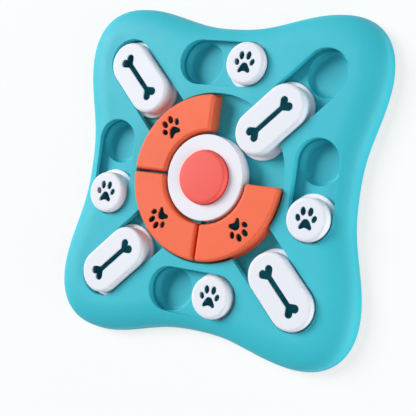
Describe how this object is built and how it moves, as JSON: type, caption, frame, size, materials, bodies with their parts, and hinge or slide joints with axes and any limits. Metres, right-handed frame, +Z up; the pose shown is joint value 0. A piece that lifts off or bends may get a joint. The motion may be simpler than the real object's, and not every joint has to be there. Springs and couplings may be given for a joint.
{
  "type": "dog puzzle feeder",
  "caption": "Four-lobed treat puzzle board for dogs: sliding caps over wells, a turning centre of three covers and a squeaker button.",
  "frame": {"origin": "centre of the board on the ground plane, under its squeaker button", "axes": "+Z up out of the board's face, +X towards the side with the right slot, +Y towards the side with the top slot, as the board is seen from above"},
  "size_m": [0.2922, 0.2922, 0.031],
  "materials": {
    "teal_plastic": "satin moulded",
    "coral_plastic": "satin moulded",
    "button_plastic": "satin moulded",
    "white_plastic": "satin moulded",
    "screw_steel": "zinc plated",
    "washer_steel": "stamped",
    "foot_rubber": "matte",
    "bulb_rubber": "matte",
    "reed_plastic": "matte"
  },
  "bodies": {
    "base": {"top_shell": "teal_plastic", "well_tray": "teal_plastic", "bottom_cover": "teal_plastic", "rubber_feet": "foot_rubber", "case_screws": "screw_steel", "post_retainer": "washer_steel", "retainer_screws": "screw_steel", "squeaker_bulb": "bulb_rubber", "squeaker_reed": "reed_plastic"},
    "rotor": {"rotor_carrier": "teal_plastic", "hub_ring": "white_plastic", "sector_cover_ul": "coral_plastic", "sector_cover_ll": "coral_plastic", "sector_cover_lr": "coral_plastic", "sector_screws": "screw_steel"},
    "button": {"press_button": "button_plastic"},
    "bone_ur": {"bone_slider_ur": "white_plastic"},
    "bone_ul": {"bone_slider_ul": "white_plastic"},
    "bone_ll": {"bone_slider_ll": "white_plastic"},
    "bone_lr": {"bone_slider_lr": "white_plastic"},
    "paw_right": {"paw_slider_right": "white_plastic"},
    "paw_top": {"paw_slider_top": "white_plastic"},
    "paw_left": {"paw_slider_left": "white_plastic"},
    "paw_bottom": {"paw_slider_bottom": "white_plastic"}
  },
  "joints": [
    {"name": "rotor_turn", "type": "hinge", "parent": "base", "child": "rotor", "pos_m": [0, 0, 0.011], "axis": [0, 0, 1], "range_deg": [-21, 21]},
    {"name": "button_press", "type": "slide", "parent": "base", "child": "button", "axis": [0, 0, -1], "range_m": [0, 0.002], "stiffness_N_per_m": 1200, "springref_m": -0.0005, "deforming": ["squeaker_bulb"]},
    {"name": "bone_slide_ur", "type": "slide", "parent": "base", "child": "bone_ur", "axis": [0.7071, 0.7071, 0], "range_m": [0, 0.0428]},
    {"name": "bone_slide_ul", "type": "slide", "parent": "base", "child": "bone_ul", "axis": [-0.7071, 0.7071, 0], "range_m": [-0.0035, 0.0045]},
    {"name": "bone_slide_ll", "type": "slide", "parent": "base", "child": "bone_ll", "axis": [-0.7071, -0.7071, 0], "range_m": [-0.005, 0.003]},
    {"name": "bone_slide_lr", "type": "slide", "parent": "base", "child": "bone_lr", "axis": [0.7071, -0.7071, 0], "range_m": [-0.0075, 0.0005]},
    {"name": "paw_slide_right", "type": "slide", "parent": "base", "child": "paw_right", "axis": [0, 1, 0], "range_m": [0, 0.0466]},
    {"name": "paw_slide_top", "type": "slide", "parent": "base", "child": "paw_top", "axis": [-1, 0, 0], "range_m": [0, 0.0466]},
    {"name": "paw_slide_left", "type": "slide", "parent": "base", "child": "paw_left", "axis": [0, 1, 0], "range_m": [0, 0.0466]},
    {"name": "paw_slide_bottom", "type": "slide", "parent": "base", "child": "paw_bottom", "axis": [-1, 0, 0], "range_m": [-0.002, 0.0446]}
  ]
}
